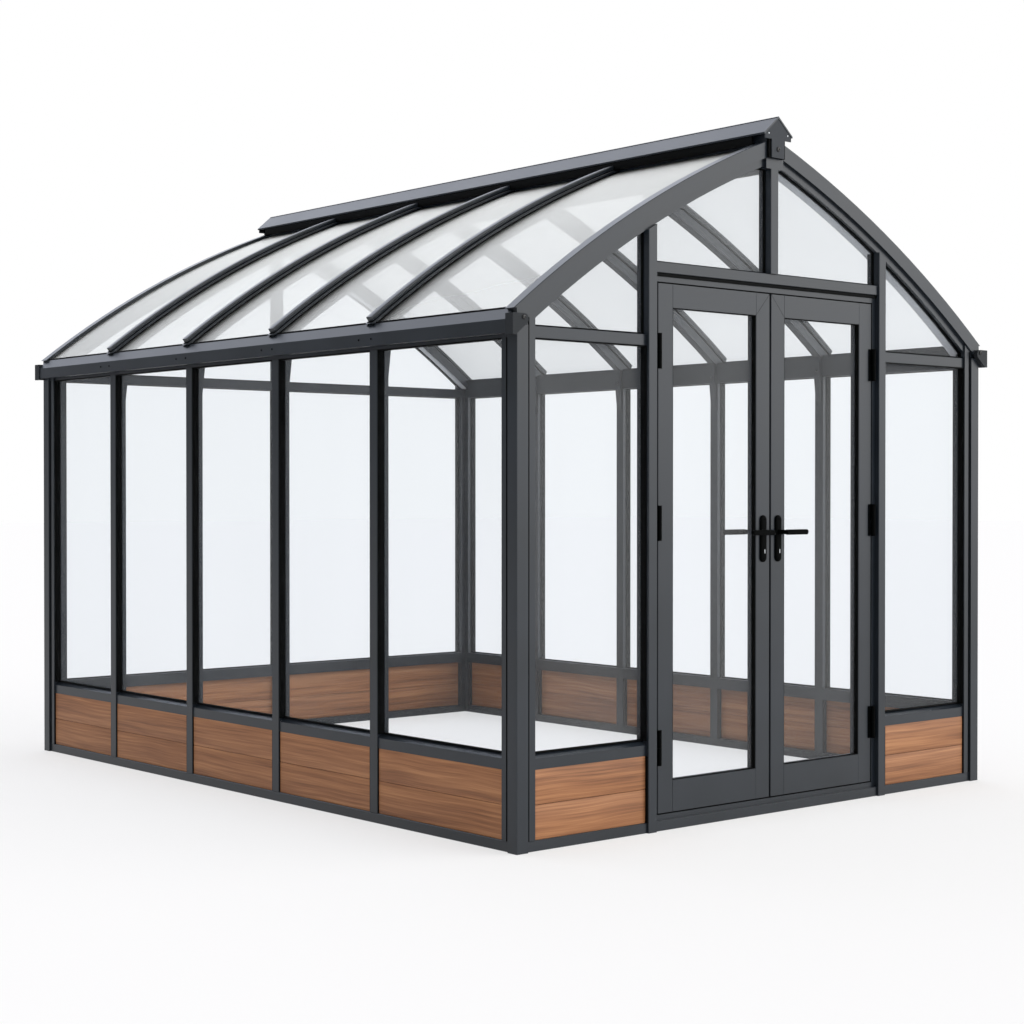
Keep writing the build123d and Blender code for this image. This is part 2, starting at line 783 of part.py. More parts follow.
plate_backs = (leaf_face, leaf_face + leaf_thickness + handle_plate_thickness)
with BuildPart() as left_door_handle_plates:
    plate_centre = handle_height + handle_plate_rise - handle_plate_length / 2
    for back in plate_backs:
        with BuildSketch(cross_plane(back)):
            with Locations((handle_x, plate_centre)):
                SlotOverall(handle_plate_length, handle_plate_width, rotation=90)
            with Locations((handle_x, handle_height)):
                Circle(spindle_radius + spindle_clearance, mode=Mode.SUBTRACT)
        extrude(amount=handle_plate_thickness)

# Lever: one spindle through the leaf, with an arm outside and one inside
with BuildPart() as left_lever:
    spindle_back = leaf_face + leaf_thickness + lever_stand_off
    spindle_length = leaf_thickness + 2 * lever_stand_off
    with BuildSketch(cross_plane(spindle_back)):
        with Locations((handle_x, handle_height)):
            Circle(spindle_radius)
    extrude(amount=spindle_length)
    arm_centre = handle_x + lever_height / 2 - lever_length / 2
    for back in (leaf_face - lever_stand_off, spindle_back + lever_thickness):
        with BuildSketch(cross_plane(back)):
            with Locations((arm_centre, handle_height)):
                SlotOverall(lever_length, lever_height)
        extrude(amount=lever_thickness)
    arm_ends = left_lever.edges().group_by(Axis.Y)
    chamfer(arm_ends[0] + arm_ends[-1], lever_bevel)

# Lift-off hinges: the frame's half has the pin and the lower knuckle, the leaf's half the upper one
hinge_x = -frame_inner + door_gap / 2
hinge_y = leaf_face - hinge_stand_off
knuckle = hinge_length / 2


def hinge_barrel(bottom, height, radius):
    """A round piece on the left door's hinge axis."""
    with BuildPart() as barrel:
        with BuildSketch(Plane(origin=(hinge_x, hinge_y, bottom))):
            Circle(radius)
        extrude(amount=height)
    return barrel.part


def hinge_plate(start, side, bottom, height):
    """A flat leaf of a hinge, from a place along X out to the plate's width."""
    end = hinge_x + side * (hinge_plate_width + door_gap / 2)
    with BuildPart() as plate:
        with BuildSketch(Plane.XY.offset(bottom)):
            with Locations(((start + end) / 2, leaf_face - hinge_plate_thickness / 2)):
                Rectangle(abs(end - start), hinge_plate_thickness)
        extrude(amount=height)
    return plate.part


with BuildPart() as frame_hinges:
    for middle in hinge_heights:
        foot = middle - hinge_length / 2
        add(hinge_plate(hinge_x - hinge_notch, -1, foot, hinge_length))
        add(hinge_plate(hinge_x, -1, foot, knuckle))
        add(hinge_barrel(foot, knuckle, hinge_radius))
        add(hinge_barrel(foot, hinge_length, hinge_pin_radius))
    mirror(about=Plane.YZ)

with BuildPart() as left_door_hinges:
    for middle in hinge_heights:
        foot = middle - hinge_length / 2
        bottom = foot + knuckle + hinge_knuckle_gap
        height = knuckle - hinge_knuckle_gap
        add(hinge_plate(hinge_x + hinge_notch, 1, foot, hinge_length))
        add(hinge_plate(hinge_x, 1, bottom, height))
        add(hinge_barrel(bottom, height, hinge_radius))
        add(hinge_barrel(foot, hinge_length, hinge_pin_radius + hinge_pin_clearance), mode=Mode.SUBTRACT)

with BuildPart() as right_door_stiles:
    mirror(left_door_stiles.part, about=Plane.YZ)
with BuildPart() as right_door_rails:
    mirror(left_door_rails.part, about=Plane.YZ)
with BuildPart() as right_door_glass:
    mirror(left_door_glass.part, about=Plane.YZ)
with BuildPart() as right_door_handle_plates:
    mirror(left_door_handle_plates.part, about=Plane.YZ)
with BuildPart() as right_lever:
    mirror(left_lever.part, about=Plane.YZ)
with BuildPart() as right_door_hinges:
    mirror(left_door_hinges.part, about=Plane.YZ)

pieces = {
    "corner_posts": corner_posts,
    "base_rails": base_rails,
    "left_wall_mullions": left_wall_mullions,
    "right_wall_mullions": right_wall_mullions,
    "back_mullion": back_mullion,
    "left_panels": left_panels,
    "right_panels": right_panels,
    "front_panels": front_panels,
    "back_panels": back_panels,
    "left_sill_rails": left_sill_rails,
    "right_sill_rails": right_sill_rails,
    "end_sill_rails": end_sill_rails,
    "wall_top_rails": wall_top_rails,
    "front_gable_rails": front_gable_rails,
    "back_gable_rails": back_gable_rails,
    "left_wall_glass": left_wall_glass,
    "right_wall_glass": right_wall_glass,
    "end_wall_glass": end_wall_glass,
    "front_gable_glass": front_gable_glass,
    "back_gable_glass": back_gable_glass,
    "eave_beams": eave_beams,
    "eave_end_caps": eave_end_caps,
    "left_roof_ribs": left_roof_ribs,
    "right_roof_ribs": right_roof_ribs,
    "front_rafters": front_rafters,
    "back_rafters": back_rafters,
    "left_roof_glass": left_roof_glass,
    "right_roof_glass": right_roof_glass,
    "ridge_beam": ridge_beam,
    "ridge_cap": ridge_cap,
    "ridge_end_plates": ridge_end_plates,
    "rib_gussets": rib_gussets,
    "door_jambs": door_jambs,
    "door_header": door_header,
    "centre_gable_bar": centre_gable_bar,
    "door_threshold": door_threshold,
    "door_frame_sides": door_frame_sides,
    "door_frame_rails": door_frame_rails,
    "frame_hinges": frame_hinges,
    "left_door_stiles": left_door_stiles,
    "left_door_rails": left_door_rails,
    "left_door_glass": left_door_glass,
    "left_door_handle_plates": left_door_handle_plates,
    "left_door_hinges": left_door_hinges,
    "left_lever": left_lever,
    "right_door_stiles": right_door_stiles,
    "right_door_rails": right_door_rails,
    "right_door_glass": right_door_glass,
    "right_door_handle_plates": right_door_handle_plates,
    "right_door_hinges": right_door_hinges,
    "right_lever": right_lever,
}
for name, piece in pieces.items():
    piece.part.label = name
    export_step(piece.part, f"parts/{name}.step")
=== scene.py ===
"""Looks of a greenhouse: powder-coated frame, bowed glass roof, boarded base and double doors."""

import math

import bmesh
import bpy
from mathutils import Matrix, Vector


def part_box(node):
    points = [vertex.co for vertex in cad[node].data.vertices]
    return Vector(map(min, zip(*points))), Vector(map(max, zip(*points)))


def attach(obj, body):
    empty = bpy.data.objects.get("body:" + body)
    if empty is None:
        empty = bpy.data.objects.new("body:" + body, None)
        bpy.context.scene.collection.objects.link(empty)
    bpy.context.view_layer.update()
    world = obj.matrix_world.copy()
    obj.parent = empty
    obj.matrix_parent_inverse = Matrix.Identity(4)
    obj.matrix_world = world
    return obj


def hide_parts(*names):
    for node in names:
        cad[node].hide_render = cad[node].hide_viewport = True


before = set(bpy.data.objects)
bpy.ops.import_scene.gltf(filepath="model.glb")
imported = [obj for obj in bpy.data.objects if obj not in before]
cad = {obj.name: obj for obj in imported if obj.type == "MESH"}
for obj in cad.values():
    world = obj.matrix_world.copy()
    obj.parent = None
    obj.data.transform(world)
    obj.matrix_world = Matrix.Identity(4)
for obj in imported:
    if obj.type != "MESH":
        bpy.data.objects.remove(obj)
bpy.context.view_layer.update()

MM = 0.001

# Camera: where it stands, in metres, and how it is turned
CAMERA_PLACE = (-5.1609, -6.2110, 1.1550)
CAMERA_AZIMUTH = -40.525
CAMERA_PITCH_DOWN = 0.591
CAMERA_LENS_MM = 66.90

# Studio: the side that the soft light comes from, its highest level, the shares of it that the sky gives
# from the dark side (0) to the bright one (1), and what is added overhead
LIGHT_SIDE = (0.62, -0.72, 0.32)
LIGHT_HIGHEST = 3.2
LIGHT_SHARES = ((0.0, 0.03), (0.125, 0.045), (0.3, 0.15), (0.75, 0.2), (0.9, 0.28), (0.985, 1.0))
LIGHT_TOP = 0.22
LIGHT_BACK_SIDE = (0.1, 0.75, 0.65)
LIGHT_BACK = 1.3
GLOSS_WHITE_SHARE = 0.05
FLOOR_HALF = 60.0
FLOOR_DROP = 0.5 * MM
FLOOR_WHITE_SHARE = 0.6

# Walls, in millimetres: the outer face of the bars and of the panes, counted out from the middle
OUTWARD = {"left": (-1, 0), "right": (1, 0), "front": (0, -1), "back": (0, 1)}
BAR_FACE = {"left": 1212, "right": 1212, "front": 1617, "back": 1617}
REVEAL = 29
GLASS_BITE = 7.7

# Bowed roof: the left slope's arc runs from the eave to the ridge beam
EAVE_X = 1232
EAVE_Z = 1742
RIDGE_X = 45
ROOF_RISE = 668
ROOF_SAGITTA = 50
CAP_DEPTH = 8
ROOF_GLASS_DEPTH = 14
GABLE_HEAD_DEPTH = 82
RIDGE_BEAM_FOOT = 2314
RIB_WEB = 28
ARC_STEPS = 28
RIDGE_PLATE_Y = 1641

# Posts: the line of their step along a wall, out from the middle, and up to its head
RAIL_TOP = 36
END_STEP = (1165.5, 1620, 1715)
SIDE_STEP = (1568.5, 1215, 1651)

# Door leaves: their faces, and the handle plates on them
LEAF_OUTER_Y = -1605
LEAF_INNER_Y = -1565
PLATE_X = 40
PLATE_FOOT_Z = 905
PLATE_HEAD_Z = 1073
PLATE_HALF_WIDTH = 16
PLATE_THICK = 8


def linear(hex_colour):
    """A linear colour, with an alpha of 1, from an sRGB hex value."""
    parts = [int(hex_colour[place:place + 2], 16) / 255 for place in (1, 3, 5)]
    return (*[part / 12.92 if part <= 0.04045 else ((part + 0.055) / 1.055) ** 2.4 for part in parts], 1.0)


def add(tree, kind, links=None, stops=None, **settings):
    """Adds a node: settings go on the node, stops on its ramp, values or outputs on its sockets."""
    made = tree.nodes.new(kind)
    for name, value in settings.items():
        setattr(made, name, value)
    for index, (place, colour) in enumerate(stops or []):
        ramp = made.color_ramp.elements
        stop = ramp[index] if index < len(ramp) else ramp.new(place)
        stop.position = place
        stop.color = colour
    for name, value in (links or {}).items():
        socket = made.inputs[name]
        if isinstance(value, bpy.types.NodeSocket):
            tree.links.new(value, socket)
        else:
            socket.default_value = value
    return made


def new_material(name):
    """An empty node material, its tree and the Object coordinates that its patterns read."""
    made = bpy.data.materials.new(name)
    made.use_nodes = True
    tree = made.node_tree
    tree.nodes.clear()
    coords = add(tree, "ShaderNodeTexCoord").outputs["Object"]
    return made, tree, coords


def per_metre(size_mm):
    """A texture's scale for a pattern whose features are this many millimetres apart."""
    return 1 / (size_mm * MM)


def coated(name, dark, light, roughness, specular, grain_mm, grain_strength):
    """A stoved or moulded skin: an even colour, faintly cloudy, with a fine grain that softens highlights."""
    made, tree, coords = new_material(name)
    cloud_mm = 260
    cloud = add(tree, "ShaderNodeTexNoise", {"Vector": coords, "Scale": per_metre(cloud_mm), "Detail": 3.0})
    colour = add(
        tree,
        "ShaderNodeValToRGB",
        {"Fac": cloud.outputs["Fac"]},
        stops=[(0.35, linear(dark)), (0.65, linear(light))],
    )
    gloss = add(
        tree,
        "ShaderNodeMapRange",
        {"Value": cloud.outputs["Fac"], "To Min": roughness - 0.05, "To Max": roughness + 0.05},
    )
    grain = add(tree, "ShaderNodeTexNoise", {"Vector": coords, "Scale": per_metre(grain_mm), "Detail": 2.0})
    relief = add(
        tree,
        "ShaderNodeBump",
        {"Height": grain.outputs["Fac"], "Strength": grain_strength, "Distance": 0.2 * MM},
    )
    surface = add(
        tree,
        "ShaderNodeBsdfPrincipled",
        {
            "Base Color": colour.outputs["Color"],
            "Roughness": gloss.outputs["Result"],
            "Normal": relief.outputs["Normal"],
            "Specular IOR Level": specular,
        },
    )
    add(tree, "ShaderNodeOutputMaterial", {"Surface": surface.outputs["BSDF"]})
    return made


def turned_metal(name, colour, roughness):
    """Bright turned metal: a mirror broken by fine rings, so that small heads catch one soft highlight."""
    made, tree, coords = new_material(name)
    grit = add(tree, "ShaderNodeTexNoise", {"Vector": coords, "Scale": per_metre(1.2), "Detail": 2.0})
    gloss = add(
        tree,
        "ShaderNodeMapRange",
        {"Value": grit.outputs["Fac"], "To Min": roughness - 0.08, "To Max": roughness + 0.08},
    )
    surface = add(
        tree,
        "ShaderNodeBsdfPrincipled",
        {"Base Color": linear(colour), "Metallic": 1.0, "Roughness": gloss.outputs["Result"]},
    )
    add(tree, "ShaderNodeOutputMaterial", {"Surface": surface.outputs["BSDF"]})
    return made


def walnut_boards():
    """Oiled walnut, planed: warm brown with long, gently waving bands and thin dark lines along the grain."""
    made, tree, coords = new_material("walnut_boards_planed_and_oiled")
    lot = add(tree, "ShaderNodeAttribute", attribute_name="lot").outputs["Fac"]
    shift = add(tree, "ShaderNodeVectorMath", {0: lot, 1: (37.0, 53.0, 71.0)}, operation="MULTIPLY")
    own = add(tree, "ShaderNodeVectorMath", {0: coords, 1: shift.outputs["Vector"]}, operation="ADD")

    # Slow waves bend the grain; its layers are each far longer along the board than across it
    wave = add(
        tree,
        "ShaderNodeTexNoise",
        {"Vector": own.outputs["Vector"], "Scale": per_metre(380), "Detail": 1.0},
    )
    rise = add(tree, "ShaderNodeMath", {0: wave.outputs["Fac"], 1: 0.022}, operation="MULTIPLY")
    lift = add(tree, "ShaderNodeCombineXYZ", {"Z": rise.outputs["Value"]})
    bent = add(
        tree,
        "ShaderNodeVectorMath",
        {0: own.outputs["Vector"], 1: lift.outputs["Vector"]},
        operation="ADD",
    )
    layers = []
    for length_mm, slenderness, detail in ((620, 24.0, 2.0), (520, 64.0, 3.0), (170, 80.0, 2.0)):
        drawn = add(
            tree,
            "ShaderNodeMapping",
            {"Vector": bent.outputs["Vector"], "Scale": (1.0, 1.0, slenderness)},
        )
        layers.append(
            add(
                tree,
                "ShaderNodeTexNoise",
                {"Vector": drawn.outputs["Vector"], "Scale": per_metre(length_mm), "Detail": detail},
            ).outputs["Fac"]
        )
    bands, lines, pores = layers
    tint = add(tree, "ShaderNodeMath", {0: lot, 1: 0.04, 2: -0.02}, operation="MULTIPLY_ADD")
    mixed = tint.outputs["Value"]
    for layer, share in ((bands, 0.34), (lines, 0.4), (pores, 0.26)):
        summed = add(tree, "ShaderNodeMath", {0: layer, 1: share, 2: mixed}, operation="MULTIPLY_ADD")
        mixed = summed.outputs["Value"]
    colour = add(
        tree,
        "ShaderNodeValToRGB",
        {"Fac": mixed},
        stops=[
            (0.34, linear("#714b33")),
            (0.45, linear("#906141")),
            (0.52, linear("#9f6d49")),
            (0.64, linear("#b58158")),
        ],
    )
    relief = add(tree, "ShaderNodeBump", {"Height": pores, "Strength": 0.2, "Distance": 0.3 * MM})
    surface = add(
        tree,
        "ShaderNodeBsdfPrincipled",
        {
            "Base Color": colour.outputs["Color"],
            "Roughness": 0.5,
            "Specular IOR Level": 0.3,
            "Normal": relief.outputs["Normal"],
        },
    )
    add(tree, "ShaderNodeOutputMaterial", {"Surface": surface.outputs["BSDF"]})
    return made


def clear_pane(name, power, slant_mirror, mirror_colour):
    """Clear glass: lets most through, with a faint haze whose soft streaks are painted reflections, and a
    mirror that grows at a slant.
    """
    made, tree, coords = new_material(name)
    painted_reflection_streak_mm = 420
    slanted = add(
        tree,
        "ShaderNodeMapping",
        {"Vector": coords, "Rotation": (0.6, 0.6, 0.0), "Scale": (1.0, 1.0, 0.25)},
    )
    cloud = add(
        tree,
        "ShaderNodeTexNoise",
        {"Vector": slanted.outputs["Vector"], "Scale": per_metre(painted_reflection_streak_mm), "Detail": 1.0},
    )
    # The haze is the glass's own; its diagonal streaks are painted reflections
    haze = add(
        tree,
        "ShaderNodeMapRange",
        {"Value": cloud.outputs["Fac"], "From Min": 0.35, "From Max": 0.65, "To Min": 0.02, "To Max": 0.032},
    )
    slant = add(tree, "ShaderNodeLayerWeight", {"Blend": 0.5})
    steep = add(tree, "ShaderNodeMath", {0: slant.outputs["Facing"], 1: power}, operation="POWER")
    mirror_share = add(
        tree,
        "ShaderNodeMath",
        {0: steep.outputs["Value"], 1: slant_mirror, 2: 0.006},
        operation="MULTIPLY_ADD",
        use_clamp=True,
    )
    clear = add(tree, "ShaderNodeBsdfTransparent", {"Color": linear("#fcfdfe")})
    film = add(tree, "ShaderNodeBsdfDiffuse", {"Color": linear("#f3f5f5")})
    mirror = add(tree, "ShaderNodeBsdfGlossy", {"Color": linear(mirror_colour), "Roughness": 0.4})
    hazed = add(
        tree,
        "ShaderNodeMixShader",
        {0: haze.outputs["Result"], 1: clear.outputs["BSDF"], 2: film.outputs["BSDF"]},
    )
    shown = add(
        tree,
        "ShaderNodeMixShader",
        {0: mirror_share.outputs["Value"], 1: hazed.outputs["Shader"], 2: mirror.outputs["BSDF"]},
    )
    add(tree, "ShaderNodeOutputMaterial", {"Surface": shown.outputs["Shader"]})
    return made


# Satin coats: dark bars with a broad soft sheen, flatter on castings and plates, nearly none on the hardware;
# pale anodised strips; oiled black bolts with a small sharp highlight; rubber that shows as plain black lines,
# its black also laid into steps, gaps and reveals as painted shade;
# bright steel dots; warm streaky wood; and glass, which on the bowed roof mirrors the sky and whose haze
# carries painted reflection streaks
frame_coat = coated("aluminium_powder_coated_grey", "#1d2329", "#21272e", 0.32, 0.42, 2.5, 0.1)
cap_coat = coated("zinc_casting_coated_grey", "#272a2d", "#2a2d30", 0.5, 0.15, 1.5, 0.15)
plate_coat = coated("steel_plate_coated_grey", "#2d3136", "#31353a", 0.5, 0.2, 1.5, 0.15)
trim_coat = coated("aluminium_anodised_pale", "#b3b7ba", "#bcc0c3", 0.45, 0.4, 2.0, 0.08)
bolt_coat = coated("steel_blackened_and_oiled", "#0b0c0d", "#101112", 0.22, 0.6, 1.5, 0.05)
hardware_coat = coated("zinc_casting_coated_matt_black", "#030404", "#050606", 0.45, 0.02, 1.5, 0.1)
# Its black stands for real rubber and also for painted shade where it fills steps, gaps and reveals
rubber = coated("epdm_rubber_extruded", "#050606", "#080909", 0.6, 0.06, 1.8, 0.2)
screw_metal = turned_metal("stainless_steel_turned", "#b9bcbf", 0.3)
boards = walnut_boards()
wall_glass = clear_pane("float_glass_clear", 5.0, 0.28, "#ffffff")
roof_glass = clear_pane("toughened_glass_clear", 4.0, 1.2, "#d5d3cb")


def dress(node, look):
    """Gives every material slot of a CAD node one look."""
    for place in node.material_slots:
        place.material = look


for name, node in cad.items():
    if name.endswith("_panels"):
        dress(node, boards)
    elif name.endswith("_roof_glass"):
        dress(node, roof_glass)
    elif name.endswith("_glass"):
        dress(node, wall_glass)
    elif name == "eave_end_caps":
        dress(node, cap_coat)
    elif name == "ridge_end_plates":
        dress(node, plate_coat)
    elif "hinges" in name or "handle" in name or "lever" in name:
        dress(node, hardware_coat)
    else:
        dress(node, frame_coat)


def new_tree(name, inputs):
    """A Geometry Nodes tree with a mesh in, a mesh out and named inputs."""
    tree = bpy.data.node_groups.new(name, "GeometryNodeTree")
    tree.interface.new_socket("Geometry", in_out="INPUT", socket_type="NodeSocketGeometry")
    tree.interface.new_socket("Geometry", in_out="OUTPUT", socket_type="NodeSocketGeometry")
    for label, kind in inputs.items():
        tree.interface.new_socket(label, in_out="INPUT", socket_type=kind)
    return tree, add(tree, "NodeGroupInput").outputs


def end_tree(tree, geometry, look):
    """The tree's end: instances made real, and the material set."""
    whole = add(tree, "GeometryNodeRealizeInstances", {"Geometry": geometry})
    finished = add(tree, "GeometryNodeSetMaterial", {"Geometry": whole.outputs["Geometry"], "Material": look})
    add(tree, "NodeGroupOutput", {"Geometry": finished.outputs["Geometry"]})


def section_tree():
    """Sweeps a rounded bar along runs of edges, its width towards each run's outward side."""
    sizes = {"Across": "NodeSocketFloat", "Thick": "NodeSocketFloat", "Rounding": "NodeSocketFloat"}
    tree, given = new_tree("bar_along_runs", {**sizes, "Seed": "NodeSocketInt", "Look": "NodeSocketMaterial"})
    paths = add(tree, "GeometryNodeMeshToCurve", {"Mesh": given["Geometry"]})
    side = add(tree, "GeometryNodeInputNamedAttribute", {"Name": "outward"}, data_type="FLOAT_VECTOR")
    turned = add(
        tree,
        "GeometryNodeSetCurveNormal",
        {"Curve": paths.outputs["Curve"], "Normal": side.outputs["Attribute"]},
        mode="FREE",
    )
    chance = add(tree, "FunctionNodeRandomValue", {2: 0.0, 3: 1.0, "Seed": given["Seed"]}, data_type="FLOAT")
    marked = add(
        tree,
        "GeometryNodeStoreNamedAttribute",
        {"Geometry": turned.outputs["Curve"], "Name": "lot", "Value": chance.outputs[1]},
        data_type="FLOAT",
        domain="CURVE",
    )
    outline = add(
        tree,
        "GeometryNodeCurvePrimitiveQuadrilateral",
        {"Width": given["Across"], "Height": given["Thick"]},
    )
    eased = add(
        tree,
        "GeometryNodeFilletCurve",
        {"Curve": outline.outputs["Curve"], "Count": 2, "Radius": given["Rounding"], "Limit Radius": True},
        mode="POLY",
    )
    swept = add(
        tree,
        "GeometryNodeCurveToMesh",
        {"Curve": marked.outputs["Geometry"], "Profile Curve": eased.outputs["Curve"], "Fill Caps": True},
    )
    end_tree(tree, swept.outputs["Mesh"], given["Look"])
    return tree


def heads_tree():
    """Puts one screw head on every point, standing out on its outward side, at the point's size."""
    tree, given = new_tree("heads_on_points", {"Head": "NodeSocketObject", "Look": "NodeSocketMaterial"})
    head = add(tree, "GeometryNodeObjectInfo", {"Object": given["Head"], "As Instance": True})
    side = add(tree, "GeometryNodeInputNamedAttribute", {"Name": "outward"}, data_type="FLOAT_VECTOR")
    size = add(tree, "GeometryNodeInputNamedAttribute", {"Name": "size"}, data_type="FLOAT")
    turn = add(tree, "FunctionNodeAlignRotationToVector", {"Vector": side.outputs["Attribute"]}, axis="Z")
    placed = add(
        tree,
        "GeometryNodeInstanceOnPoints",
        {
            "Points": given["Geometry"],
            "Instance": head.outputs["Geometry"],
            "Rotation": turn.outputs["Rotation"],
            "Scale": size.outputs["Attribute"],
        },
    )
    end_tree(tree, placed.outputs["Instances"], given["Look"])
    return tree


def bake(name, base, tree, **inputs):
    """Runs a tree on a base mesh and leaves an object with the result as its plain mesh."""
    made = bpy.data.objects.new(name, base)
    bpy.context.scene.collection.objects.link(made)
    step = made.modifiers.new(tree.name, "NODES")
    step.node_group = tree
    for item in tree.interface.items_tree:
        if item.in_out == "INPUT" and item.name in inputs:
            step[item.identifier] = inputs[item.name]
    graph = bpy.context.evaluated_depsgraph_get()
    mesh = bpy.data.meshes.new_from_object(
        made.evaluated_get(graph), preserve_all_data_layers=True, depsgraph=graph
    )
    made.modifiers.remove(step)
    made.data = mesh
    mesh.name = name
    return made


def with_sides(name, points, edges, sides):
    """A mesh of points and edges, with the side that each point faces kept as an attribute."""
    mesh = bpy.data.meshes.new(name)
    mesh.from_pydata(points, edges, [])
    layer = mesh.attributes.new("outward", "FLOAT_VECTOR", "POINT")
    layer.data.foreach_set("vector", [part for side in sides for part in side])
    return mesh


BAR_TREE = section_tree()
HEAD_TREE = heads_tree()


def lay_bars(name, runs, across, thick, rounding, look, body, slot, seed=0):
    """One piece of bars of a size in millimetres: each run is its points, in millimetres, and its side."""
    points, edges, sides = [], [], []
    for path, side in runs:
        first = len(points)
        points += [tuple(part * MM for part in point) for point in path]
        edges += [(first + step, first + step + 1) for step in range(len(path) - 1)]
        sides += [side] * len(path)
    base = with_sides(name, points, edges, sides)
    sizes = {"Across": across * MM, "Thick": thick * MM, "Rounding": rounding * MM}
    piece = bake(name, base, BAR_TREE, Seed=seed, Look=look, **sizes)
    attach(piece, body)
    return piece


def set_heads(name, places, head, look, body):
    """One piece of screw heads: each place is its point and radius, in millimetres, and its side."""
    points = [tuple(part * MM for part in point) for point, side, radius in places]
    base = with_sides(name, points, [], [side for point, side, radius in places])
    sizes = base.attributes.new("size", "FLOAT", "POINT")
    sizes.data.foreach_set("value", [radius * MM for point, side, radius in places])
    piece = bake(name, base, HEAD_TREE, Head=head, Look=look)
    piece.data.shade_smooth()
    piece.data.set_sharp_from_angle(angle=math.radians(35))
    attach(piece, body)
    return piece


def lathe_head(name, rings, sides):
    """A screw head of radius 1, from rings of radius and height; its last ring is closed with a floor."""
    made = bmesh.new()
    rows = []
    for radius, height in rings:
        turns = [2 * math.pi * step / sides for step in range(sides)]
        ring = [(radius * math.cos(turn), radius * math.sin(turn), height) for turn in turns]
        rows.append([made.verts.new(point) for point in ring])
    for low, high in zip(rows, rows[1:]):
        for step in range(sides):
            after = (step + 1) % sides
            made.faces.new((low[step], low[after], high[after], high[step]))
    made.faces.new(rows[-1])
    made.faces.new(reversed(rows[0]))
    mesh = bpy.data.meshes.new(name)
    made.to_mesh(mesh)
    made.free()
    return bpy.data.objects.new(name, mesh)


def solid_boxes(name):
    """The boxes, in millimetres, of a node's separate solids: lowest and highest corners."""
    merged = bmesh.new()
    merged.from_mesh(cad[name].data)
    bmesh.ops.remove_doubles(merged, verts=merged.verts, dist=0.01 * MM)
    waiting = set(merged.verts)
    boxes = []
    while waiting:
        island = [waiting.pop()]
        for vert in island:
            for edge in vert.link_edges:
                other = edge.other_vert(vert)
                if other in waiting:
                    waiting.remove(other)
                    island.append(other)
        spread = list(zip(*[vert.co for vert in island]))
        boxes.append(([min(part) / MM for part in spread], [max(part) / MM for part in spread]))
    merged.free()
    return sorted(boxes)


def on_wall(side, along, out, z):
    """A point in millimetres on a wall, from its place along the wall, out from the middle, and up."""
    across, ahead = OUTWARD[side]
    return (across * out + abs(ahead) * along, ahead * out + abs(across) * along, z)


def facing(side):
    """The way that a wall faces, as a vector."""
    return (*OUTWARD[side], 0)


def span(side, box):
    """How far a solid reaches along its wall."""
    axis = 1 if OUTWARD[side][0] else 0
    return box[0][axis], box[1][axis]


def side_of(box):
    """The end wall that a solid stands in."""
    return "front" if box[0][1] < 0 else "back"


# The roof arc's centre and radius, from its ends and its sagitta
CHORD = math.hypot(EAVE_X - RIDGE_X, ROOF_RISE)
ROOF_RADIUS = (CHORD**2 / 4 + ROOF_SAGITTA**2) / (2 * ROOF_SAGITTA)
ARC_X = -(EAVE_X + RIDGE_X) / 2 + ROOF_RISE / CHORD * (ROOF_RADIUS - ROOF_SAGITTA)
ARC_Z = EAVE_Z + ROOF_RISE / 2 - (EAVE_X - RIDGE_X) / CHORD * (ROOF_RADIUS - ROOF_SAGITTA)


def roof_height(x, depth):
    """The height, over a place across the part, of the arc that lies this deep under the roof's skin."""
    return ARC_Z + math.sqrt((ROOF_RADIUS - depth) ** 2 - (-abs(x) - ARC_X) ** 2)


def roof_line(low, high, y, depth):
    """Points along the roof's bow from one place across the part to another."""
    places = [low + (high - low) * step / ARC_STEPS for step in range(ARC_STEPS + 1)]
    return [(x, y, roof_height(x, depth)) for x in places]


def clad_in_boards():
    """Two eased boards in every panel, in place of the plain panels, with a tongue behind their joint whose
    black is painted shade in the joint.
    """
    thick, easing, clearance, joint = 18, 1.2, 0.6, 1.4
    tongue_deep, tongue_wide, tongue_easing = 8, 6, 0.5
    first_seed = 11
    for index, side in enumerate(OUTWARD):
        node = f"{side}_panels"
        axis = 1 if OUTWARD[side][1] else 0
        runs = []
        for box in solid_boxes(node):
            low, high = span(side, box)
            ends = (low + clearance, high - clearance)
            out = max(abs(corner[axis]) for corner in box) - thick / 2
            height = (box[1][2] - box[0][2]) / 2
            for row in (0.5, 1.5):
                z = box[0][2] + row * height + (row - 1) * joint / 2
                runs.append(([on_wall(side, along, out, z) for along in ends], facing(side)))
        middle = box[0][2] + height
        tongues = [([(*point[:2], middle) for point in path], way) for path, way in runs[::2]]
        tongue = (tongue_deep, tongue_wide, tongue_easing)
        # The tongues are black: painted shade in the joint between the boards
        lay_bars(f"{side}_board_tongues", tongues, *tongue, rubber, "frame", "wood_boards")
        wide = height - joint / 2
        seed = first_seed + index
        piece = lay_bars(f"{side}_boards", runs, thick, wide, easing, boards, "frame", "wood_boards", seed=seed)
        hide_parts(node)


